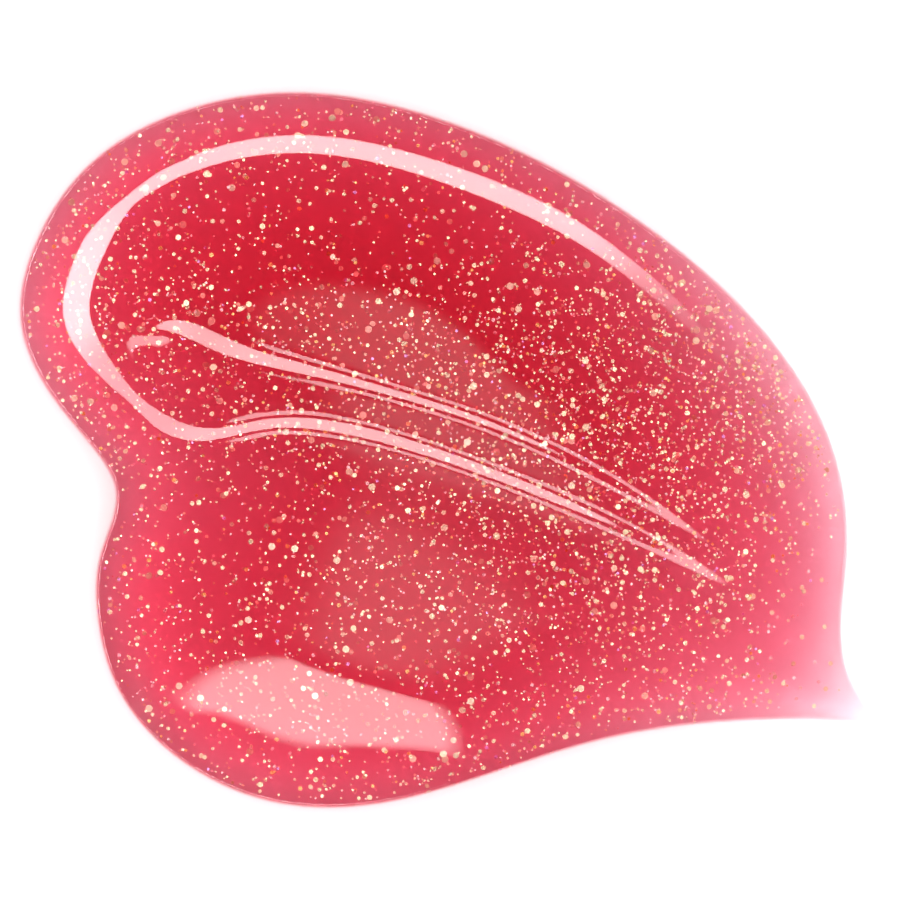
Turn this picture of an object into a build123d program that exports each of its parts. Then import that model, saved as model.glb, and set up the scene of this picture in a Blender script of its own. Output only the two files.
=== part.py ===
"""Lip gloss smear: two lobes of thick glittery gloss lying on a flat surface, built as four runs of gel and
the glitter flakes that are suspended in them.

Millimetres. X runs along the smear towards its drawn-out tail, Y across it, Z up from the surface it lies on.
"""
from build123d import *
import math
import os
import random

import numpy as np

os.makedirs("parts", exist_ok=True)

# ---------------------------------------------------------------- plan of the smear
# Outline of the wetted area, counter-clockwise from the sharp tip of the tail.
OUTLINE_KNOTS = [
    (12.9, -8.2), (12.1, -7.1), (11.75, -5.8), (11.9, -3.2), (11.5, 0.0), (9.4, 3.6), (6.1, 6.6), (2.7, 8.7),
    (-0.9, 10.15), (-4.4, 10.75), (-8.0, 10.2), (-10.8, 8.6), (-12.45, 6.2), (-12.9, 3.9), (-12.1, 1.8),
    (-10.7, 0.0), (-10.05, -1.2), (-10.5, -3.1), (-10.6, -4.9), (-9.9, -7.3), (-8.1, -9.3), (-5.4, -10.55),
    (-2.1, -10.62), (1.0, -9.8), (4.6, -8.7), (8.4, -8.15), (11.2, -8.1),
]
TAIL_TIP = OUTLINE_KNOTS[0]
OUTLINE_STEPS = 121

# The upper stroke was laid over the lower one in two passes, so its near side ends in two soft steps.
UPPER_STEP_KNOTS = [
    (-10.6, 3.3), (-9.3, 3.55), (-8.3, 3.72), (-6.9, 3.2), (-4.3, 2.4), (-1.7, 1.7), (1.1, 0.8), (4.75, -0.9),
    (8.8, -3.5), (11.0, -5.2),
]
LOWER_STEP_KNOTS = [
    (-12.0, 2.5), (-11.0, 2.2), (-10.0, 1.5), (-9.2, 0.95), (-8.3, 0.6), (-7.3, 0.45), (-5.6, 0.75),
    (-3.5, 0.7), (-0.9, 0.05), (2.9, -1.35), (6.6, -3.05), (9.5, -4.7), (12.0, -6.2),
]

# Seams between the runs of gel: along the foot of each step, and across the root of the tail.
UPPER_SEAM_KNOTS = [
    (-15.0, 2.9), (-12.0, 2.85), (-10.6, 2.9), (-9.3, 3.1), (-8.3, 3.2), (-6.9, 2.75), (-4.3, 1.95),
    (-1.7, 1.25), (1.1, 0.35), (4.75, -1.35), (8.0, -3.3), (11.0, -5.2),
]
LOWER_SEAM_KNOTS = [
    (-15.0, -1.9), (-12.0, -1.6), (-10.05, -1.2), (-8.8, -0.6), (-7.5, -0.3), (-5.6, 0.0), (-3.5, 0.0),
    (-0.9, -0.6), (2.9, -1.95), (6.6, -3.7), (9.0, -5.1), (11.0, -6.6),
]
TAIL_SEAM_KNOTS = [
    (15.0, -1.6), (12.2, -2.3), (10.6, -3.1), (9.4, -4.2), (8.7, -5.4), (8.3, -7.0), (8.2, -12.0),
]
SLAB_X = 15.0
SLAB_Y = 12.0

# ---------------------------------------------------------------- thickness of the smear
TOP_THICKNESS = 2.74
UPPER_CROWN = 0.22
LOWER_CREASE_DROP = 0.12
SOUTH_EAST_DROP = 0.35
FILM_THICKNESS = 0.09
TAIL_FADE_RADIUS = 4.2
TAIL_TIP_BLUNTING = 0.5

# The two soft steps on the near side of the upper stroke.
LOWER_STEP_HEIGHT = 0.28
UPPER_STEP_HEIGHT = 0.21
WEST_STEP_GROWTH = 0.7
STEP_HALF_WIDTH = (0.12, 0.10)

# Low swell along the middle of the lower stroke, falling towards its rim.
SWELL_CENTRE = (-3.9, -7.45)
SWELL_HEADING = math.radians(-11.6)
SWELL_RISE = 0.34
SWELL_HALF_WIDTH = 0.60
SWELL_REACH = 4.8

# Rim, by azimuth about the middle in degrees: the share of the height taken by its upright foot, and the
# width over which the rest of it rises. It is carried on past the outline so that the relief covers it.
RELIEF_OVERHANG = -1.2
RIM_FOOT = [
    (0, 0.26), (20, 0.32), (45, 0.46), (90, 0.48), (150, 0.48), (170, 0.58), (190, 0.66), (205, 0.72),
    (228, 0.83), (240, 0.81), (262, 0.82), (280, 0.80), (292, 0.73), (305, 0.68), (320, 0.64), (335, 0.45),
    (345, 0.30),
]
RIM_WIDTH = [
    (0, 4.6), (20, 5.8), (45, 6.4), (90, 6.0), (150, 6.0), (170, 5.0), (205, 4.6), (225, 5.0), (240, 5.4),
    (262, 5.2), (280, 5.2), (292, 4.5), (328, 3.0), (345, 3.6),
]

# Edge of the first pass along the rim of the upper lobe, by azimuth: how far in it lies, its height and
# how softly it rises.
EDGE_INSET = [(0, 1.5), (60, 1.35), (90, 1.6), (130, 1.7), (165, 1.85), (200, 1.85)]
EDGE_HEIGHT = [
    (0, 0.08), (20, 0.12), (45, 0.17), (130, 0.17), (150, 0.22), (165, 0.33), (200, 0.34), (230, 0.08),
]
EDGE_SOFTNESS = [(0, 0.17), (130, 0.17), (150, 0.20), (165, 0.27), (200, 0.27), (230, 0.17)]

# The relief is fitted through a grid of points, after rounding off creases too sharp for the grid to carry.
GRID_STEP = 0.3
RELIEF_SMOOTHING = 0.25
RIDGE_SMOOTHING = 0.8

# ---------------------------------------------------------------- glitter
FLAKE_THICKNESS = 0.03
FLAKE_MAX_TILT = 32.0
FLAKE_COVER = 0.17
FLAKE_SEAM_GAP = 0.22
FLAKE_RIM_GAP = 0.45
# run of gel: (kind of flake, width across flats, how many)
FLAKES = {
    "upper_lobe": [
        ("coarse_gold", 0.20, 60), ("medium_gold", 0.13, 80), ("copper", 0.12, 30), ("rose", 0.10, 50),
        ("violet", 0.10, 16),
    ],
    "middle_fold": [("coarse_gold", 0.20, 24), ("medium_gold", 0.13, 40), ("copper", 0.12, 14)],
    "lower_lobe": [
        ("coarse_gold", 0.20, 36), ("medium_gold", 0.13, 80), ("copper", 0.12, 30), ("rose", 0.10, 50),
        ("violet", 0.10, 14),
    ],
    "drawn_tail": [("medium_gold", 0.13, 16), ("rose", 0.10, 16)],
}


# ---------------------------------------------------------------- helpers
def natural_spline(knots, count):
    """Points along the natural cubic spline through the knots, spaced evenly along the chords."""
    points = np.array(knots, float)
    chords = np.hypot(*np.diff(points, axis=0).T)
    stations = np.concatenate([[0.0], np.cumsum(chords)])
    size = len(points)
    matrix = np.eye(size)
    right = np.zeros((size, 2))
    for i in range(1, size - 1):
        matrix[i, i - 1] = chords[i - 1]
        matrix[i, i] = 2 * (chords[i - 1] + chords[i])
        matrix[i, i + 1] = chords[i]
        right[i] = 6 * ((points[i + 1] - points[i]) / chords[i] - (points[i] - points[i - 1]) / chords[i - 1])
    bend = np.linalg.solve(matrix, right)
    travel = np.linspace(0.0, stations[-1], count)
    span = np.clip(np.searchsorted(stations, travel, side="right") - 1, 0, size - 2)
    ahead = ((travel - stations[span]) / chords[span])[:, None]
    behind = 1 - ahead
    sag = (behind**3 - behind) * bend[span] + (ahead**3 - ahead) * bend[span + 1]
    return behind * points[span] + ahead * points[span + 1] + sag * chords[span][:, None] ** 2 / 6


def ease(value):
    """Smooth step from 0 to 1."""
    return 1 / (1 + np.exp(-np.clip(value, -40, 40)))


def soft_minimum(first, second, blend):
    return -blend * np.logaddexp(-first / blend, -second / blend)


def around(table, azimuth):
    """Value from a table of (degrees, value) read round the circle, with its corners rounded off."""
    degrees = np.arange(360.0)
    values = np.interp(degrees, [row[0] for row in table], [row[1] for row in table], period=360)
    kernel = np.exp(-0.5 * (np.minimum(degrees, 360 - degrees) / 5.0) ** 2)
    rounded = np.real(np.fft.ifft(np.fft.fft(values) * np.fft.fft(kernel / kernel.sum())))
    return np.interp(azimuth, degrees, rounded, period=360)


def above_line(line, x, y):
    """Signed distance above a line that runs left to right."""
    height_of_line = np.interp(x, line[:, 0], line[:, 1])
    grade = np.interp(x, line[:, 0], np.gradient(line[:, 1], line[:, 0]))
    return (y - height_of_line) / np.sqrt(1 + grade**2)


outline = np.round(natural_spline(OUTLINE_KNOTS + [TAIL_TIP], OUTLINE_STEPS), 4)
upper_step = natural_spline(UPPER_STEP_KNOTS, 160)
lower_step = natural_spline(LOWER_STEP_KNOTS, 160)
upper_seam = natural_spline(UPPER_SEAM_KNOTS, 60)
lower_seam = natural_spline(LOWER_SEAM_KNOTS, 60)
tail_seam = natural_spline(TAIL_SEAM_KNOTS, 40)


def rim_distance(x, y):
    """Distance inwards from the outline, negative outside it."""
    nearest = np.full(np.shape(x), np.inf)
    inside = np.zeros(np.shape(x), bool)
    for (ax, ay), (bx, by) in zip(outline[:-1], outline[1:]):
        along = ((x - ax) * (bx - ax) + (y - ay) * (by - ay)) / ((bx - ax) ** 2 + (by - ay) ** 2)
        along = np.clip(along, 0, 1)
        nearest = np.minimum(nearest, np.hypot(x - ax - along * (bx - ax), y - ay - along * (by - ay)))
        if ay != by:
            inside ^= ((ay > y) != (by > y)) & (x < (bx - ax) * (y - ay) / (by - ay) + ax)
    return np.where(inside, nearest, -nearest)


def gel_thickness(x, y, distance):
    """Thickness of the gel at points a known distance in from the outline. The foot of its rim is upright."""
    azimuth = np.degrees(np.arctan2(y, x)) % 360
    foot = around(RIM_FOOT, azimuth)
    width = around(RIM_WIDTH, azimuth)
    rise = 1 - (1 - np.minimum(np.maximum(distance, RELIEF_OVERHANG) / width, 1)) ** 1.7
    rim = foot + (1 - foot) * rise

    above_upper = above_line(upper_step, x, y)
    above_lower = above_line(lower_step, x, y)
    # Both passes end in a step along their near side, and the steps turn up round the west end of the lobe.
    inset = distance - around(EDGE_INSET, azimuth)
    lower_edge = soft_minimum(inset, above_lower, 0.3)
    upper_edge = soft_minimum(distance - 2.9 + 6 * ease((x + 6.5) / 0.7), above_upper, 0.3)
    by_rim = ease((above_lower - inset) / 0.5)
    lower_drop = LOWER_STEP_HEIGHT * ease((8.0 - x) / 1.4) * (1 - by_rim)
    lower_drop = lower_drop + around(EDGE_HEIGHT, azimuth) * by_rim
    softness = STEP_HALF_WIDTH[0] * (1 - by_rim) + around(EDGE_SOFTNESS, azimuth) * by_rim
    upper_growth = 1 + WEST_STEP_GROWTH * ease((-4.6 - x) / 1.0)
    upper_drop = UPPER_STEP_HEIGHT * upper_growth * (1 - 0.6 * ease((-9.4 - x) / 0.4)) * ease((5.0 - y) / 0.8)
    upper_drop = upper_drop * ease((8.4 - x) / 1.4)

    east, north = x - SWELL_CENTRE[0], y - SWELL_CENTRE[1]
    along = east * math.cos(SWELL_HEADING) + north * math.sin(SWELL_HEADING)
    across = north * math.cos(SWELL_HEADING) - east * math.sin(SWELL_HEADING)
    swell = SWELL_RISE * (ease(across / SWELL_HALF_WIDTH) - 0.5) * np.exp(-((along / SWELL_REACH) ** 2))

    plateau = TOP_THICKNESS + swell - LOWER_CREASE_DROP * ease((above_lower + 1.6) / 0.7)
    plateau = plateau - SOUTH_EAST_DROP * ease((x - 4.0) / 1.5) * ease((-4.8 - y) / 1.6)
    plateau = plateau - lower_drop * (1 - ease(lower_edge / softness))
    plateau = plateau - upper_drop * (1 - ease(upper_edge / STEP_HALF_WIDTH[1] / upper_growth))
    plateau = plateau - UPPER_CROWN * (1 - ease((above_upper - 2.6) / 1.1))

    from_tip = np.sqrt((x - TAIL_TIP[0]) ** 2 + (y - TAIL_TIP[1]) ** 2 + TAIL_TIP_BLUNTING**2)
    thinning = (1 - 0.55 * ease((x - 7.2) / 2.0)) * np.clip(from_tip / TAIL_FADE_RADIUS, 0, 1) ** 0.8
    return FILM_THICKNESS + plateau * rim * thinning


def blurred(field, radius):
    """Gaussian blur of a field on the grid."""
    reach = math.ceil(4 * radius / GRID_STEP)
    kernel = np.exp(-0.5 * (np.arange(-reach, reach + 1) * GRID_STEP / radius) ** 2)
    kernel /= kernel.sum()
    padded = np.pad(field, reach, mode="edge")
    for axis in (0, 1):
        padded = np.apply_along_axis(np.convolve, axis, padded, kernel, mode="same")
    return padded[reach:-reach, reach:-reach]


def sampled(field, x, y):
    """Bilinear value of a grid field at points."""
    u = (x - grid_x[0]) / GRID_STEP
    v = (y - grid_y[0]) / GRID_STEP
    i, j = u.astype(int), v.astype(int)
    a, b = u - i, v - j
    return ((1 - a) * (1 - b) * field[i, j] + a * (1 - b) * field[i + 1, j]
            + (1 - a) * b * field[i, j + 1] + a * b * field[i + 1, j + 1])


def region_prism(line, corners):
    """Upright prism whose plan is bounded by a seam line and the straight lines through the corners."""
    with BuildPart() as prism:
        with BuildSketch(Plane.XY.offset(-1)):
            with BuildLine():
                Spline(*[tuple(p) for p in line])
                Polyline(tuple(line[-1]), *corners, tuple(line[0]))
            make_face()
        extrude(amount=6)
    return prism.part


# ---------------------------------------------------------------- the relief and the whole smear
grid_x = np.arange(-SLAB_X, SLAB_X + GRID_STEP / 2, GRID_STEP)
grid_y = np.arange(-SLAB_Y, SLAB_Y + GRID_STEP / 2, GRID_STEP)
mesh_x, mesh_y = np.meshgrid(grid_x, grid_y, indexing="ij")
grid_distance = rim_distance(mesh_x, mesh_y)
# The distance is rounded off along its ridge, so that the lobes have no crease where opposite rims meet.
ridge_share = np.clip((grid_distance - 2.0) / 2.0, 0, 1)
rounded_distance = grid_distance * (1 - ridge_share) + blurred(grid_distance, RIDGE_SMOOTHING) * ridge_share
relief = blurred(gel_thickness(mesh_x, mesh_y, rounded_distance), RELIEF_SMOOTHING)
relief_points = [
    [Vector(float(mesh_x[i, j]), float(mesh_y[i, j]), float(relief[i, j])) for j in range(len(grid_y))]
    for i in range(len(grid_x))
]
relief_face = Face.make_surface_from_array_of_points(relief_points, tol=0.02, min_deg=3, max_deg=3)
under_relief = extrude(relief_face, amount=8, dir=(0, 0, -1))

with BuildPart() as smear:
    with BuildSketch(Plane.XY):
        with BuildLine():
            Spline(*[tuple(p) for p in outline])
        make_face()
    extrude(amount=5)
    add(under_relief, mode=Mode.INTERSECT)

east_of_tail_seam = region_prism(tail_seam, [(16.0, -12.0), (16.0, -1.6)])
above_upper_seam = region_prism(upper_seam, [(16.0, -5.2), (16.0, 14.0), (-15.0, 14.0)])
below_lower_seam = region_prism(lower_seam, [(16.0, -6.6), (16.0, -14.0), (-15.0, -14.0)])

# ---------------------------------------------------------------- the four runs of gel
with BuildPart() as drawn_tail:
    add(smear.part)
    add(east_of_tail_seam, mode=Mode.INTERSECT)

with BuildPart() as upper_lobe:
    add(smear.part)
    add(east_of_tail_seam, mode=Mode.SUBTRACT)
    add(above_upper_seam, mode=Mode.INTERSECT)

with BuildPart() as lower_lobe:
    add(smear.part)
    add(east_of_tail_seam, mode=Mode.SUBTRACT)
    add(below_lower_seam, mode=Mode.INTERSECT)

with BuildPart() as middle_fold:
    add(smear.part)
    add(east_of_tail_seam, mode=Mode.SUBTRACT)
    add(above_upper_seam, mode=Mode.SUBTRACT)
    add(below_lower_seam, mode=Mode.SUBTRACT)

runs_of_gel = {
    "upper_lobe": upper_lobe,
    "middle_fold": middle_fold,
    "lower_lobe": lower_lobe,
    "drawn_tail": drawn_tail,
}
for name, run in runs_of_gel.items():
    run.part.label = name
    export_step(run.part, f"parts/{name}.step")


# ---------------------------------------------------------------- the glitter flakes held in each run
def run_at(x, y):
    """Name of the run of gel over a point, or None near a seam."""
    gap = FLAKE_SEAM_GAP
    east = x - float(np.interp(-y, -tail_seam[:, 1], tail_seam[:, 0]))
    above = float(above_line(upper_seam, x, y))
    below = -float(above_line(lower_seam, x, y))
    if east > gap:
        return "drawn_tail"
    if east > -gap:
        return None
    if above > gap:
        return "upper_lobe"
    if below > gap:
        return "lower_lobe"
    if above < -gap and below < -gap:
        return "middle_fold"
    return None


def flake_solid(width, place, turn):
    """Hexagonal flake of the given width across flats."""
    with BuildPart() as flake:
        with BuildSketch(Plane.XY.offset(-FLAKE_THICKNESS / 2)):
            RegularPolygon(radius=width / 2, side_count=6, major_radius=False)
        extrude(amount=FLAKE_THICKNESS)
    return Location(place, turn) * flake.part.solid()


random.seed(41)
spots = {name: [] for name in FLAKES}
wanted = {name: sum(kind[2] for kind in kinds) for name, kinds in FLAKES.items()}
while any(len(spots[name]) < wanted[name] for name in FLAKES):
    batch = [(random.uniform(-13, 13), random.uniform(-11, 11)) for _ in range(400)]
    batch_x = np.array([spot[0] for spot in batch])
    batch_y = np.array([spot[1] for spot in batch])
    distances = rim_distance(batch_x, batch_y)
    depths = sampled(relief, batch_x, batch_y)
    for (x, y), distance, depth in zip(batch, distances, depths):
        name = run_at(x, y) if distance > FLAKE_RIM_GAP else None
        if name and len(spots[name]) < wanted[name] and depth > 3 * FLAKE_COVER:
            spots[name].append((x, y, float(depth)))

for name, kinds in FLAKES.items():
    queue = iter(spots[name])
    for kind, width, count in kinds:
        flakes = []
        for x, y, depth in [next(queue) for _ in range(count)]:
            top = depth - FLAKE_COVER
            z = top - (top - FLAKE_COVER) * 0.7 * random.random() ** 1.5
            tilt = random.uniform(0, FLAKE_MAX_TILT)
            heading = random.uniform(0, 360)
            turn = (tilt * math.cos(heading), tilt * math.sin(heading), heading)
            flakes.append(flake_solid(width, (x, y, z), turn))
        group = Compound(children=flakes)
        group.label = f"{kind}_flakes_{name}"
        export_step(group, f"parts/{kind}_flakes_{name}.step")
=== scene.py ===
"""Looks of the lip gloss smear: one continuous wet skin of gel, the glitter held in it, and a white studio.

The skin follows the same plan and nearly the same thickness as the CAD solids that it replaces. Its shape is
worked out in millimetres and turned into metres where the meshes are made. X runs along the smear towards its
drawn-out tail, Y across it, Z up from the surface it lies on.
"""
import math

import bpy
import numpy as np
from mathutils import Euler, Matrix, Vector
from mathutils.geometry import delaunay_2d_cdt


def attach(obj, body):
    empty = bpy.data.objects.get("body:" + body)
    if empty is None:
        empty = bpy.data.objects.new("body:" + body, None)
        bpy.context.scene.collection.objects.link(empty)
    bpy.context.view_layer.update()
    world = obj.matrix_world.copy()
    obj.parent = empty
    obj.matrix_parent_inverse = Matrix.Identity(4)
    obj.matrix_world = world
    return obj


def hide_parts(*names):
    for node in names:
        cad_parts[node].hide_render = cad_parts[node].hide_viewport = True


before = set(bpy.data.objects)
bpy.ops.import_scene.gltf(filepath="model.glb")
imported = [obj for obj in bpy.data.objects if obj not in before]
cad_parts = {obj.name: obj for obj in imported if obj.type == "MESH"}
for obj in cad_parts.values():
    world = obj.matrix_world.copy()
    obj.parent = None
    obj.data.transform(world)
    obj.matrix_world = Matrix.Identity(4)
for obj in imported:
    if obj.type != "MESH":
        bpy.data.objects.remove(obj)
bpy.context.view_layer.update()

MM = 0.001

# ---------------------------------------------------------------- plan of the smear, millimetres
# Outline of the wetted area, counter-clockwise from the sharp tip of the tail.
OUTLINE_KNOTS = [
    (12.9, -8.2), (12.1, -7.1), (11.75, -5.8), (11.9, -3.2), (11.5, 0.0), (9.4, 3.6), (6.1, 6.6), (2.7, 8.7),
    (-0.9, 10.15), (-4.4, 10.75), (-8.0, 10.2), (-10.8, 8.6), (-12.45, 6.2), (-12.9, 3.9), (-12.1, 1.8),
    (-10.7, 0.0), (-10.05, -1.2), (-10.5, -3.1), (-10.6, -4.9), (-9.9, -7.3), (-8.1, -9.3), (-5.4, -10.55),
    (-2.1, -10.62), (1.0, -9.8), (4.6, -8.7), (8.4, -8.15), (11.2, -8.1),
]
TAIL_TIP = OUTLINE_KNOTS[0]

# The upper stroke was laid over the lower one in two passes, so its near side ends in two soft steps.
UPPER_STEP_KNOTS = [
    (-10.6, 3.3), (-9.3, 3.55), (-8.3, 3.72), (-6.9, 3.2), (-4.3, 2.4), (-1.7, 1.7), (1.1, 0.8), (4.75, -0.9),
    (8.8, -3.5), (11.0, -5.2),
]
LOWER_STEP_KNOTS = [
    (-12.0, 2.5), (-11.0, 2.2), (-10.0, 1.5), (-9.2, 0.95), (-8.3, 0.6), (-7.3, 0.45), (-5.6, 0.75),
    (-3.5, 0.7), (-0.9, 0.05), (2.9, -1.35), (6.6, -3.05), (9.5, -4.7), (12.0, -6.2),
]

# ---------------------------------------------------------------- thickness of the smear, millimetres
TOP_THICKNESS = 2.74
UPPER_CROWN = 0.22
LOWER_CREASE_DROP = 0.12
SOUTH_EAST_DROP = 0.35
FILM_THICKNESS = 0.09
TAIL_FADE_RADIUS = 4.2
TAIL_TIP_BLUNTING = 0.5

# The two soft steps on the near side of the upper stroke.
LOWER_STEP_HEIGHT = 0.28
UPPER_STEP_HEIGHT = 0.21
WEST_STEP_GROWTH = 0.7
STEP_HALF_WIDTH = (0.12, 0.10)

# Low swell along the middle of the lower stroke, falling towards its rim.
SWELL_CENTRE = (-3.9, -7.45)
SWELL_HEADING = math.radians(-11.6)
SWELL_RISE = 0.34
SWELL_HALF_WIDTH = 0.60
SWELL_REACH = 4.8

# Rim, by azimuth about the middle in degrees: the share of the height taken by its steep foot, and the width
# over which the rest of it rises. The foot starts upright and is rounded at its top edge.
FOOT_RADIUS = 0.16
RIM_FOOT = [
    (0, 0.26), (20, 0.32), (45, 0.46), (90, 0.48), (150, 0.48), (170, 0.58), (190, 0.66), (205, 0.72),
    (228, 0.83), (240, 0.81), (262, 0.82), (280, 0.80), (292, 0.73), (305, 0.68), (320, 0.64), (335, 0.45),
    (345, 0.30),
]
RIM_WIDTH = [
    (0, 4.6), (20, 5.8), (45, 6.4), (90, 6.0), (150, 6.0), (170, 5.0), (205, 4.6), (225, 5.0), (240, 5.4),
    (262, 5.2), (280, 5.2), (292, 4.5), (328, 3.0), (345, 3.6),
]

# Edge of the first pass along the rim of the upper lobe, by azimuth: how far in it lies, its height and
# how softly it rises.
EDGE_INSET = [(0, 1.5), (60, 1.35), (90, 1.6), (130, 1.7), (165, 1.85), (200, 1.85)]
EDGE_HEIGHT = [
    (0, 0.08), (20, 0.12), (45, 0.17), (130, 0.17), (150, 0.22), (165, 0.33), (200, 0.34), (230, 0.08),
]
EDGE_SOFTNESS = [(0, 0.17), (130, 0.17), (150, 0.20), (165, 0.27), (200, 0.27), (230, 0.17)]

# ---------------------------------------------------------------- how finely the skin is meshed, millimetres
OUTLINE_STEPS = 700
LINE_STEPS = 400
# The rim has rings of points at these distances in from the outline, and a grid fills the rest.
RIM_RINGS = (0.008, 0.022, 0.042, 0.068, 0.098, 0.130, 0.158, 0.19, 0.27)
RING_CROWDING = 0.93
INNER_GAP = 0.36
GRID_STEP = 0.1
GRID_HALF_LENGTH = 13.5
GRID_HALF_WIDTH = 11.5
# Blur of the relief, and of the distance from the rim where it has a ridge between opposite rims.
RELIEF_SMOOTHING = 0.1
RIDGE_SMOOTHING = 0.8
# Mode of the triangulation that keeps only triangles inside the outline, and the gap that it closes.
KEEP_INSIDE = 1
MERGE_GAP = 1e-7


# ---------------------------------------------------------------- relief of the gel
def natural_spline(knots, count):
    """Points along the natural cubic spline through the knots, spaced evenly along the chords."""
    points = np.array(knots, float)
    chords = np.hypot(*np.diff(points, axis=0).T)
    stations = np.concatenate([[0.0], np.cumsum(chords)])
    size = len(points)
    matrix = np.eye(size)
    right = np.zeros((size, 2))
    for i in range(1, size - 1):
        matrix[i, i - 1] = chords[i - 1]
        matrix[i, i] = 2 * (chords[i - 1] + chords[i])
        matrix[i, i + 1] = chords[i]
        right[i] = 6 * ((points[i + 1] - points[i]) / chords[i] - (points[i] - points[i - 1]) / chords[i - 1])
    bend = np.linalg.solve(matrix, right)
    travel = np.linspace(0.0, stations[-1], count)
    span = np.clip(np.searchsorted(stations, travel, side="right") - 1, 0, size - 2)
    ahead = ((travel - stations[span]) / chords[span])[:, None]
    behind = 1 - ahead
    sag = (behind**3 - behind) * bend[span] + (ahead**3 - ahead) * bend[span + 1]
    return behind * points[span] + ahead * points[span + 1] + sag * chords[span][:, None] ** 2 / 6


def ease(value):
    """Smooth step from 0 to 1."""
    return 1 / (1 + np.exp(-np.clip(value, -40, 40)))


def soft_minimum(first, second, blend):
    """The lesser of two values, with the corner between them rounded off."""
    return -blend * np.logaddexp(-first / blend, -second / blend)


def around(table, azimuth):
    """Value from a table of (degrees, value) read round the circle, with its corners rounded off."""
    degrees = np.arange(360.0)
    values = np.interp(degrees, [row[0] for row in table], [row[1] for row in table], period=360)
    kernel = np.exp(-0.5 * (np.minimum(degrees, 360 - degrees) / 5.0) ** 2)
    rounded = np.real(np.fft.ifft(np.fft.fft(values) * np.fft.fft(kernel / kernel.sum())))
    return np.interp(azimuth, degrees, rounded, period=360)


def above_line(line, x, y):
    """Signed distance above a line that runs left to right."""
    height_of_line = np.interp(x, line[:, 0], line[:, 1])
    grade = np.interp(x, line[:, 0], np.gradient(line[:, 1], line[:, 0]))
    return (y - height_of_line) / np.sqrt(1 + grade**2)


outline = natural_spline(OUTLINE_KNOTS + [TAIL_TIP], OUTLINE_STEPS)
upper_step = natural_spline(UPPER_STEP_KNOTS, LINE_STEPS)
lower_step = natural_spline(LOWER_STEP_KNOTS, LINE_STEPS)


def rim_distance(x, y):
    """Distance inwards from the outline, negative outside it."""
    nearest = np.full(np.shape(x), np.inf)
    inside = np.zeros(np.shape(x), bool)
    for (ax, ay), (bx, by) in zip(outline[:-1], outline[1:]):
        along = ((x - ax) * (bx - ax) + (y - ay) * (by - ay)) / ((bx - ax) ** 2 + (by - ay) ** 2)
        along = np.clip(along, 0, 1)
        nearest = np.minimum(nearest, np.hypot(x - ax - along * (bx - ax), y - ay - along * (by - ay)))
        if ay != by:
            inside ^= ((ay > y) != (by > y)) & (x < (bx - ax) * (y - ay) / (by - ay) + ax)
    return np.where(inside, nearest, -nearest)


def gel_thickness(x, y, distance):
    """Thickness of the gel at points a known distance in from the outline. The foot of its rim is rounded."""
    azimuth = np.degrees(np.arctan2(y, x)) % 360
    foot = around(RIM_FOOT, azimuth)
    width = around(RIM_WIDTH, azimuth)
    wall = np.sqrt(1 - (1 - np.clip(distance / FOOT_RADIUS, 0, 1)) ** 2)
    rise = 1 - (1 - np.clip(distance / width, 0, 1)) ** 1.7
    rim = foot * wall + (1 - foot) * rise

    above_upper = above_line(upper_step, x, y)
    above_lower = above_line(lower_step, x, y)
    # Both passes end in a step along their near side, and the steps turn up round the west end of the lobe.
    inset = distance - around(EDGE_INSET, azimuth)
    lower_edge = soft_minimum(inset, above_lower, 0.3)
    upper_edge = soft_minimum(distance - 2.9 + 6 * ease((x + 6.5) / 0.7), above_upper, 0.3)
    by_rim = ease((above_lower - inset) / 0.5)
    lower_drop = LOWER_STEP_HEIGHT * ease((8.0 - x) / 1.4) * (1 - by_rim)
    lower_drop = lower_drop + around(EDGE_HEIGHT, azimuth) * by_rim
    softness = STEP_HALF_WIDTH[0] * (1 - by_rim) + around(EDGE_SOFTNESS, azimuth) * by_rim
    upper_growth = 1 + WEST_STEP_GROWTH * ease((-4.6 - x) / 1.0)
    upper_drop = UPPER_STEP_HEIGHT * upper_growth * (1 - 0.6 * ease((-9.4 - x) / 0.4)) * ease((5.0 - y) / 0.8)
    upper_drop = upper_drop * ease((8.4 - x) / 1.4)

    east, north = x - SWELL_CENTRE[0], y - SWELL_CENTRE[1]
    along = east * math.cos(SWELL_HEADING) + north * math.sin(SWELL_HEADING)
    across = north * math.cos(SWELL_HEADING) - east * math.sin(SWELL_HEADING)
    swell = SWELL_RISE * (ease(across / SWELL_HALF_WIDTH) - 0.5) * np.exp(-((along / SWELL_REACH) ** 2))

    plateau = TOP_THICKNESS + swell - LOWER_CREASE_DROP * ease((above_lower + 1.6) / 0.7)
    plateau = plateau - SOUTH_EAST_DROP * ease((x - 4.0) / 1.5) * ease((-4.8 - y) / 1.6)
    plateau = plateau - lower_drop * (1 - ease(lower_edge / softness))
    plateau = plateau - upper_drop * (1 - ease(upper_edge / STEP_HALF_WIDTH[1] / upper_growth))
    plateau = plateau - UPPER_CROWN * (1 - ease((above_upper - 2.6) / 1.1))

    from_tip = np.sqrt((x - TAIL_TIP[0]) ** 2 + (y - TAIL_TIP[1]) ** 2 + TAIL_TIP_BLUNTING**2)
    thinning = (1 - 0.55 * ease((x - 7.2) / 2.0)) * np.clip(from_tip / TAIL_FADE_RADIUS, 0, 1) ** 0.8
    return FILM_THICKNESS * wall + plateau * rim * thinning


def blurred(field, radius):
    """Gaussian blur of a field on the grid."""
    reach = int(4 * radius / GRID_STEP)
    kernel = np.exp(-0.5 * (np.arange(-reach, reach + 1) * GRID_STEP / radius) ** 2)
    kernel /= kernel.sum()
    for axis in (0, 1):
        field = np.apply_along_axis(np.convolve, axis, field, kernel, mode="same")
    return field


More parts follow.
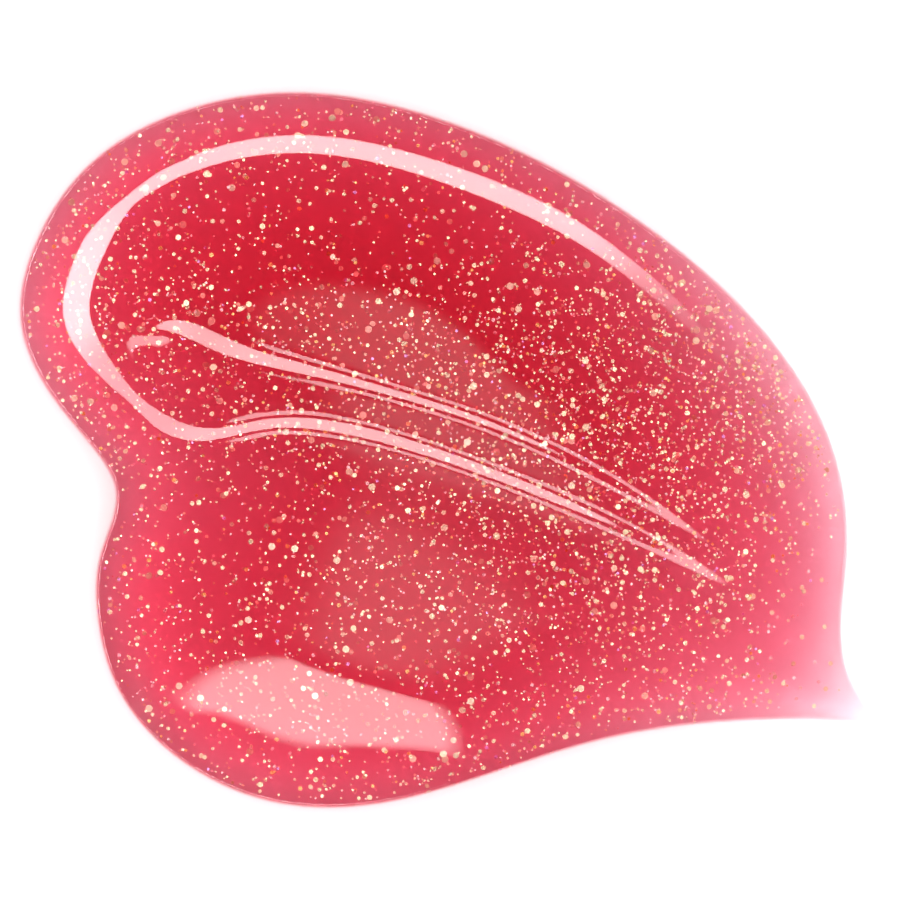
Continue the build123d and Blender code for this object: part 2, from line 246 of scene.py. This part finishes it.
grid_x = np.arange(-GRID_HALF_LENGTH, GRID_HALF_LENGTH + GRID_STEP / 2, GRID_STEP)
grid_y = np.arange(-GRID_HALF_WIDTH, GRID_HALF_WIDTH + GRID_STEP / 2, GRID_STEP)
mesh_x, mesh_y = np.meshgrid(grid_x, grid_y, indexing="ij")
grid_distance = rim_distance(mesh_x, mesh_y)
# The distance is rounded off along its ridge, so that the lobes have no crease where opposite rims meet.
ridge_share = np.clip((grid_distance - 2.0) / 2.0, 0, 1)
rounded_distance = grid_distance * (1 - ridge_share) + blurred(grid_distance, RIDGE_SMOOTHING) * ridge_share
relief = gel_thickness(mesh_x, mesh_y, rounded_distance)
# The blur of the relief stays away from the rim, which it would flatten.
inner_share = np.clip((grid_distance - 0.7) / 0.8, 0, 1)
relief = relief * (1 - inner_share) + blurred(relief, RELIEF_SMOOTHING) * inner_share


def sampled(field, x, y):
    """Bilinear value of a grid field at points."""
    u = np.clip((x - grid_x[0]) / GRID_STEP, 0, len(grid_x) - 1.001)
    v = np.clip((y - grid_y[0]) / GRID_STEP, 0, len(grid_y) - 1.001)
    i, j = u.astype(int), v.astype(int)
    a, b = u - i, v - j
    return ((1 - a) * (1 - b) * field[i, j] + a * (1 - b) * field[i + 1, j]
            + (1 - a) * b * field[i, j + 1] + a * b * field[i + 1, j + 1])


# ---------------------------------------------------------------- mesh helpers
def mesh_object(name, vertices, faces, material, smooth):
    """Mesh object with one material, linked to the scene."""
    mesh = bpy.data.meshes.new(name)
    mesh.from_pydata(vertices, [], faces)
    mesh.validate()
    mesh.materials.append(material)
    mesh.polygons.foreach_set("use_smooth", [smooth] * len(mesh.polygons))
    piece = bpy.data.objects.new(name, mesh)
    bpy.context.scene.collection.objects.link(piece)
    return piece


def triangulated(points, ring):
    """Triangles between flat points within a ring of them: places, faces and which point is at each place."""
    edges = list(zip(ring, ring[1:] + ring[:1]))
    flat_points = [Vector(p) for p in points]
    places, _, faces, origins, _, _ = delaunay_2d_cdt(flat_points, edges, [ring], KEEP_INSIDE, MERGE_GAP)
    return places, faces, [origin[0] for origin in origins]


def gel_mesh():
    """Top from rings along the rim and a grid inside them, bottom flat, joined along the outline."""
    rim = outline[:-1]
    heading = np.roll(rim, -1, axis=0) - np.roll(rim, 1, axis=0)
    inward = np.stack([-heading[:, 1], heading[:, 0]], axis=1) / np.hypot(*heading.T)[:, None]
    rings, heights = [rim], [np.zeros(len(rim))]
    for gap in RIM_RINGS:
        ring = rim + inward * gap
        # Left out where the rim bends so tightly that the ring comes nearer to another stretch of it.
        ring = ring[rim_distance(*ring.T) > gap * RING_CROWDING]
        rings.append(ring)
        heights.append(gel_thickness(*ring.T, np.maximum(rim_distance(*ring.T), 0)))
    inner = grid_distance > INNER_GAP
    points = np.concatenate(rings + [np.stack([mesh_x[inner], mesh_y[inner]], axis=1)])
    heights = np.concatenate(heights + [relief[inner]])

    rim_ring = list(range(len(rim)))
    places, top_faces, source = triangulated(points, rim_ring)
    top = [(p.x * MM, p.y * MM, float(heights[s]) * MM) for p, s in zip(places, source)]
    place_of = {s: i for i, s in enumerate(source)}
    _, bottom_faces, bottom_source = triangulated(rim, rim_ring)
    underside = [tuple(place_of[bottom_source[i]] for i in reversed(face)) for face in bottom_faces]
    return top, [tuple(face) for face in top_faces] + underside


# ---------------------------------------------------------------- materials
GEL_CLARITY = (0.86, 0.86, 0.87, 1)
GEL_TINT = (0.855, 0.18, 0.345, 1)
GEL_DENSITY = 1000
GEL_IOR = 1.47
# Flakes differ in shade over about a millimetre, and the darkest have this share of the full colour.
GRAIN_SCALE = 900
GRAIN_RAMP = (0.35, 0.65)
DARK_SHARE = 0.82


def new_material(name):
    """New node material, with its nodes and its links."""
    material = bpy.data.materials.new(name)
    material.use_nodes = True
    return material, material.node_tree.nodes, material.node_tree.links


def gel_material():
    """Clear wet gel, tinted through its depth."""
    material, nodes, links = new_material("gloss_gel")
    shader = nodes["Principled BSDF"]
    shader.inputs["Base Color"].default_value = GEL_CLARITY
    shader.inputs["Roughness"].default_value = 0.0
    shader.inputs["IOR"].default_value = GEL_IOR
    shader.inputs["Transmission Weight"].default_value = 1.0
    tint = nodes.new("ShaderNodeVolumeAbsorption")
    tint.inputs["Color"].default_value = GEL_TINT
    tint.inputs["Density"].default_value = GEL_DENSITY
    links.new(tint.outputs["Volume"], nodes["Material Output"].inputs["Volume"])
    return material


def flake_material(name, color, metallic, roughness):
    """Metallised film: a grain of slightly different shades from flake to flake."""
    material, nodes, links = new_material(name)
    shader = nodes["Principled BSDF"]
    shader.inputs["Metallic"].default_value = metallic
    shader.inputs["Roughness"].default_value = roughness
    place = nodes.new("ShaderNodeTexCoord")
    grain = nodes.new("ShaderNodeTexNoise")
    grain.inputs["Scale"].default_value = GRAIN_SCALE
    grain.inputs["Detail"].default_value = 0
    shades = nodes.new("ShaderNodeValToRGB")
    shades.color_ramp.elements[0].position = GRAIN_RAMP[0]
    shades.color_ramp.elements[1].position = GRAIN_RAMP[1]
    shades.color_ramp.elements[0].color = tuple(DARK_SHARE * c for c in color) + (1,)
    shades.color_ramp.elements[1].color = tuple(color) + (1,)
    links.new(place.outputs["Object"], grain.inputs["Vector"])
    links.new(grain.outputs["Fac"], shades.inputs["Fac"])
    links.new(shades.outputs["Color"], shader.inputs["Base Color"])
    return material


gel_look = gel_material()
flake_looks = {
    "coarse_gold": flake_material("coarse_gold_film", (0.92, 0.82, 0.52), 0.25, 0.35),
    "medium_gold": flake_material("medium_gold_film", (0.92, 0.80, 0.48), 0.25, 0.35),
    "copper": flake_material("copper_film", (0.92, 0.46, 0.14), 0.25, 0.35),
    "rose": flake_material("rose_film", (0.92, 0.58, 0.55), 0.15, 0.4),
    "violet": flake_material("violet_film", (0.78, 0.38, 0.78), 0.15, 0.4),
}

# ---------------------------------------------------------------- the gel
vertices, faces = gel_mesh()
skin = mesh_object("gel_skin", vertices, faces, gel_look, True)
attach(skin, "root")
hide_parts("upper_lobe", "middle_fold", "lower_lobe", "drawn_tail")

# ---------------------------------------------------------------- the glitter of the CAD, in its looks
for node_name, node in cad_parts.items():
    for kind, look in flake_looks.items():
        if node_name.startswith(kind + "_flakes"):
            node.data.materials.clear()
            node.data.materials.append(look)

# ---------------------------------------------------------------- the finer glitter, millimetres
# name, look, slot, width across flats (smallest, largest), how many
LOOSE_GLITTER = [
    ("mid_glitter", "medium_gold", "gold_flake", (0.11, 0.17), 380),
    ("fine_glitter", "medium_gold", "gold_flake", (0.075, 0.11), 1250),
    ("gold_shimmer", "medium_gold", "gold_flake", (0.04, 0.075), 4200),
    ("rose_shimmer", "rose", "rose_flake", (0.04, 0.075), 2200),
    ("copper_shimmer", "copper", "copper_flake", (0.05, 0.10), 420),
    ("violet_shimmer", "violet", "violet_flake", (0.05, 0.09), 120),
]
# Share of the scattered places that are kept, and the patches where it is higher or lower than elsewhere:
# the change in it, the middle of the patch, and how far it reaches along X and Y, as twice the variance.
SHARE_KEPT = 0.34
LEAST_KEPT = 0.04
PATCHES = [
    (0.65, (4.5, 0.2), (60, 26)), (0.35, (7.4, 1.9), (5, 5)), (0.30, (-9.5, 4.2), (9, 9)),
    (-0.22, (-2.0, 6.6), (60, 2.5)), (-0.20, (-4.5, -2.0), (30, 2.5)),
]
TAIL_SHARE = -0.75
SCATTER_HALF_LENGTH = 12.9
SCATTER_HALF_WIDTH = 10.7
# Every flake has some gel over and under it and lies clear of the rim. Gel less than THINNEST_GEL times as
# thick as that cover holds none, and none lies deeper than DEEPEST_SHARE of the way down.
FLAKE_COVER = 0.03
FLAKE_RIM_GAP = 0.25
THINNEST_GEL = 2.5
DEEPEST_SHARE = 0.7
FLAKE_TILT = math.radians(30)
FULL_TURN = 6.28
HEXAGON = np.arange(6) * math.pi / 3
dice = np.random.default_rng(7)


def glitter_density(x, y):
    """Share of the scattered places that are kept at a point."""
    density = SHARE_KEPT
    for change, (middle_x, middle_y), (reach_x, reach_y) in PATCHES:
        density += change * np.exp(-((x - middle_x) ** 2) / reach_x - ((y - middle_y) ** 2) / reach_y)
    density += TAIL_SHARE * ease((x + 0.4 * y - 7.6) / 0.8) * ease((-y - 2.5) / 1.0)
    return np.clip(density, LEAST_KEPT, 1)


def flake_corners(x, y, z, radius):
    """Corners of one hexagonal flake, turned and tilted at random about its middle, in metres."""
    turn = Euler((dice.normal(0, FLAKE_TILT / 2), dice.normal(0, FLAKE_TILT / 2), dice.uniform(0, FULL_TURN)))
    turn.x = max(-FLAKE_TILT, min(FLAKE_TILT, turn.x))
    turn.y = max(-FLAKE_TILT, min(FLAKE_TILT, turn.y))
    matrix = turn.to_matrix()
    spokes = [matrix @ Vector((radius * math.cos(angle), radius * math.sin(angle), 0)) for angle in HEXAGON]
    return [((x + spoke.x) * MM, (y + spoke.y) * MM, (z + spoke.z) * MM) for spoke in spokes]


def loose_glitter(sizes, count):
    """Hexagonal flakes at seeded places in the gel, most of them near its surface: corners and faces."""
    corners, hexagons = [], []
    while len(hexagons) < count:
        x = dice.uniform(-SCATTER_HALF_LENGTH, SCATTER_HALF_LENGTH)
        y = dice.uniform(-SCATTER_HALF_WIDTH, SCATTER_HALF_WIDTH)
        if dice.random() > glitter_density(x, y):
            continue
        distance = float(sampled(grid_distance, np.array([x]), np.array([y]))[0])
        thickness = float(sampled(relief, np.array([x]), np.array([y]))[0])
        radius = dice.uniform(*sizes) / 2 / math.cos(math.pi / 6)
        cover = radius * math.sin(FLAKE_TILT) + FLAKE_COVER
        if distance < FLAKE_RIM_GAP or thickness < THINNEST_GEL * cover:
            continue
        depth = cover + (thickness - 2 * cover) * DEEPEST_SHARE * dice.random() ** 3
        hexagons.append(tuple(range(len(corners), len(corners) + len(HEXAGON))))
        corners += flake_corners(x, y, thickness - depth, radius)
    return corners, hexagons


for name, look, slot, sizes, count in LOOSE_GLITTER:
    corners, hexagons = loose_glitter(sizes, count)
    piece = mesh_object(name, corners, hexagons, flake_looks[look], False)
    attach(piece, "root")

# ---------------------------------------------------------------- the floor
FLOOR_REACH = 3.0
FLOOR_LIFT = 0.02 * MM
FLOOR_WHITE = (0.9, 0.9, 0.9, 1)


def stage_object(name, vertices, faces, material):
    """Object of the studio, which isn't part of the smear."""
    piece = mesh_object(name, vertices, faces, material, True)
    return piece


def floor_material():
    """Matt white sheet."""
    material, nodes, _ = new_material("white_floor")
    shader = nodes["Principled BSDF"]
    shader.inputs["Base Color"].default_value = FLOOR_WHITE
    shader.inputs["Roughness"].default_value = 1.0
    shader.inputs["Specular IOR Level"].default_value = 0.0
    return material


floor_signs = [(-1, -1), (1, -1), (1, 1), (-1, 1)]
floor_corners = [(east * FLOOR_REACH, north * FLOOR_REACH, FLOOR_LIFT) for east, north in floor_signs]
stage_object("floor", floor_corners, [(0, 1, 2, 3)], floor_material())

# ---------------------------------------------------------------- the lights, on a dome round the smear
DOME_RADIUS = 0.6
# Long softbox curved round the north and west: azimuth, lower edge and upper edge in degrees, brightness.
RIM_LIGHT = [
    (28, 35, 43, 0), (48, 35, 43, 16), (136, 35, 43, 16), (156, 32, 49, 20), (196, 32, 49, 20),
    (212, 32, 49, 11), (226, 30, 50, 10), (240, 26, 50, 13), (266, 28, 50, 12.5), (286, 33, 50, 0),
]
# Short softbox high in the south, which makes the broad highlight on the lower lobe.
SOUTH_LIGHT = [
    (230, 67.5, 74, 0), (237, 67.5, 73.5, 8.5), (243, 62, 72.5, 9), (257, 60, 71.4, 9), (281, 60, 71.4, 9),
    (289, 60, 71.4, 0),
]
# Each softbox fades out over this many degrees on either side of its edges.
EDGE_SPREAD = 0.7
ARC_COLUMNS = 160
ARC_ROWS = 30
# Faint round glow overhead, a little to the south: azimuth, elevation and radius in degrees, brightness,
# softness in degrees.
TOP_GLOW = (285, 84.5, 8, 1.7, 5)
ROUND_COLUMNS = 48
ROUND_ROWS = 24


def glow_material(name, strength):
    """Emission of a strength that each point of the mesh scales by its own level."""
    material, nodes, links = new_material(name)
    nodes.remove(nodes["Principled BSDF"])
    glow = nodes.new("ShaderNodeEmission")
    level = nodes.new("ShaderNodeAttribute")
    level.attribute_name = "level"
    scale = nodes.new("ShaderNodeMath")
    scale.operation = "MULTIPLY"
    scale.inputs[1].default_value = strength
    links.new(level.outputs["Fac"], scale.inputs[0])
    links.new(scale.outputs["Value"], glow.inputs["Strength"])
    links.new(glow.outputs["Emission"], nodes["Material Output"].inputs["Surface"])
    return material


def dome_point(azimuth, elevation):
    """Point on the dome, in metres."""
    a, e = math.radians(azimuth), math.radians(elevation)
    out = DOME_RADIUS * math.cos(e)
    return (out * math.cos(a), out * math.sin(a), DOME_RADIUS * math.sin(e))


def light_mesh(name, vertices, levels, columns, brightest):
    """Glowing sheet from rows of points on the dome, with a brightness level at each point."""
    starts = [k for k in range(len(vertices) - columns) if k % columns < columns - 1]
    faces = [(k, k + 1, k + columns + 1, k + columns) for k in starts]
    panel = stage_object(name, vertices, faces, glow_material(name, brightest))
    attribute = panel.data.attributes.new("level", "FLOAT", "POINT")
    attribute.data.foreach_set("value", levels)
    panel.visible_camera = False
    panel.visible_diffuse = False
    panel.visible_shadow = False


def arc_light(name, stops):
    """Strip of the dome between the given edges, fading out over them."""
    azimuths, lows, highs, strengths = (np.array(column, float) for column in zip(*stops))
    vertices, levels = [], []
    for share in np.linspace(0, 1, ARC_ROWS):
        for azimuth in np.linspace(azimuths[0], azimuths[-1], ARC_COLUMNS):
            low = np.interp(azimuth, azimuths, lows) - EDGE_SPREAD
            high = np.interp(azimuth, azimuths, highs) + EDGE_SPREAD
            elevation = low + (high - low) * share
            fade = min(1, min(elevation - low, high - elevation) / (2 * EDGE_SPREAD))
            vertices.append(dome_point(azimuth, elevation))
            levels.append(float(fade * np.interp(azimuth, azimuths, strengths) / strengths.max()))
    light_mesh(name, vertices, levels, ARC_COLUMNS, float(strengths.max()))


def round_light(name, azimuth, elevation, radius, strength, softness):
    """Round patch of the dome, fading out over its rim."""
    centre = Vector(dome_point(azimuth, elevation))
    turn = Vector((0, 0, 1)).rotation_difference(centre)
    vertices, levels = [], []
    for away in np.linspace(0, radius + softness, ROUND_ROWS):
        for bearing in np.linspace(0, 360, ROUND_COLUMNS):
            vertices.append(turn @ Vector(dome_point(bearing, 90 - away)))
            levels.append(float(ease((radius - away) * 4 / softness)))
    light_mesh(name, vertices, levels, ROUND_COLUMNS, strength)


arc_light("rim_light", RIM_LIGHT)
arc_light("south_light", SOUTH_LIGHT)
round_light("top_glow", *TOP_GLOW)

# ---------------------------------------------------------------- the surroundings
# White where the camera and the floor see them, and nearly dark in the reflections.
SKY_SEEN = 1.6
SKY_REFLECTED = 0.12


def white_surroundings():
    """World whose strength depends on the kind of ray that meets it."""
    world = bpy.data.worlds.new("studio")
    world.use_nodes = True
    nodes, links = world.node_tree.nodes, world.node_tree.links
    sky = nodes["Background"]
    sky.inputs["Color"].default_value = (1, 1, 1, 1)
    ray = nodes.new("ShaderNodeLightPath")
    either = nodes.new("ShaderNodeMath")
    either.operation = "MAXIMUM"
    strength = nodes.new("ShaderNodeMapRange")
    strength.inputs["To Min"].default_value = SKY_REFLECTED
    strength.inputs["To Max"].default_value = SKY_SEEN
    links.new(ray.outputs["Is Camera Ray"], either.inputs[0])
    links.new(ray.outputs["Diffuse Depth"], either.inputs[1])
    links.new(either.outputs["Value"], strength.inputs["Value"])
    links.new(strength.outputs["Result"], sky.inputs["Strength"])
    return world


bpy.context.scene.world = white_surroundings()
bpy.context.scene.view_settings.view_transform = "Standard"

# ---------------------------------------------------------------- camera, straight down
CAMERA_HEIGHT = 0.25
CAMERA_NEAR = 0.01
FIELD_WIDTH = 27.0 * MM
SENSOR_WIDTH = 36

camera = bpy.data.objects.new("camera", bpy.data.cameras.new("camera"))
bpy.context.scene.collection.objects.link(camera)
camera.location = (0, 0, CAMERA_HEIGHT)
camera.data.sensor_width = SENSOR_WIDTH
camera.data.lens = SENSOR_WIDTH * CAMERA_HEIGHT / FIELD_WIDTH
camera.data.clip_start = CAMERA_NEAR
bpy.context.scene.camera = camera
